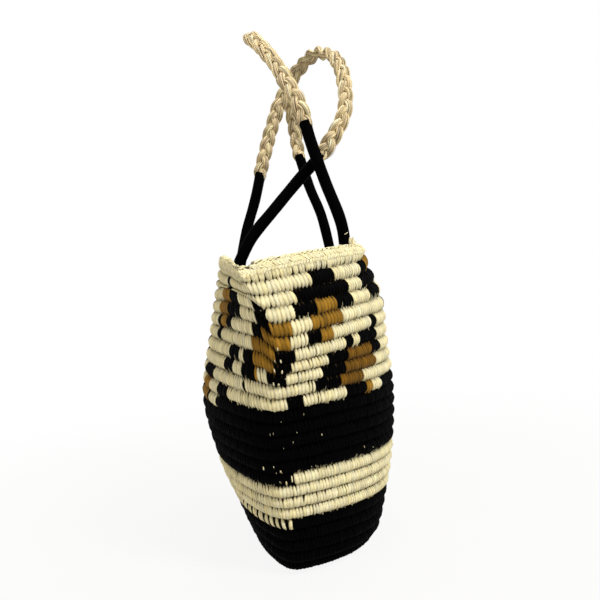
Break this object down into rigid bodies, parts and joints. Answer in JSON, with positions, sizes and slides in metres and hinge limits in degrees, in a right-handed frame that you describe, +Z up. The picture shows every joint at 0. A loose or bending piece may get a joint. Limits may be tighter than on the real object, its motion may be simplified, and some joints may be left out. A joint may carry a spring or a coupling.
{
  "type": "woven tote bag",
  "caption": "Oval bucket tote in coiled raffia with a cream stripe, an animal-spot band, a chained edge and arched handles of plaited straw that lean over the open mouth.",
  "frame": {"origin": "on the ground below the centre of the bag's bounding box", "axes": "+X along the mouth from the end that faces the camera to the far end, -Y towards the bulging front wall, +Z up"},
  "size_m": [0.3076, 0.181, 0.4869],
  "materials": {
    "black_raffia": "matt stitched raffia, black",
    "cream_raffia": "matt stitched raffia, undyed cream",
    "spotted_raffia": "matt stitched raffia, cream with black and mustard-brown animal spots",
    "straw": "plaited natural straw",
    "black_thread": "tightly wound black thread"
  },
  "bodies": {
    "bag": {"base_coil": "black_raffia", "foot_band": "black_raffia", "stripe_band": "cream_raffia", "waist_band": "black_raffia", "lower_spotted_band": "spotted_raffia", "upper_spotted_band": "spotted_raffia", "rim_band": "cream_raffia", "rim_chain": "cream_raffia", "rim_tuft": "cream_raffia", "back_near_sewn_end": "black_thread", "back_near_lashing_1": "black_thread", "back_near_lashing_2": "black_thread", "back_far_sewn_end": "black_thread", "back_far_lashing_1": "black_thread", "back_far_lashing_2": "black_thread", "front_near_sewn_end": "black_thread", "front_near_lashing_1": "black_thread", "front_near_lashing_2": "black_thread", "front_far_sewn_end": "black_thread", "front_far_lashing_1": "black_thread", "front_far_lashing_2": "black_thread"},
    "back_handle": {"back_near_wrap": "black_thread", "back_near_core": "straw", "back_far_wrap": "black_thread", "back_far_core": "straw", "back_plait_strand_1": "straw", "back_plait_strand_2": "straw", "back_plait_strand_3": "straw"},
    "front_handle": {"front_near_wrap": "black_thread", "front_near_core": "straw", "front_far_wrap": "black_thread", "front_far_core": "straw", "front_plait_strand_1": "straw", "front_plait_strand_2": "straw", "front_plait_strand_3": "straw"}
  },
  "joints": [
    {"name": "back_handle_lean", "type": "hinge", "parent": "bag", "child": "back_handle", "pos_m": [-0.04363, 0.04832, 0.26328], "axis": [0.9998, 0.0011, -0.0198], "range_deg": [0, 38]},
    {"name": "front_handle_lean", "type": "hinge", "parent": "bag", "child": "front_handle", "pos_m": [-0.05843, -0.04732, 0.26304], "axis": [0.9997, -0.0156, -0.0203], "range_deg": [-66, 9]}
  ]
}
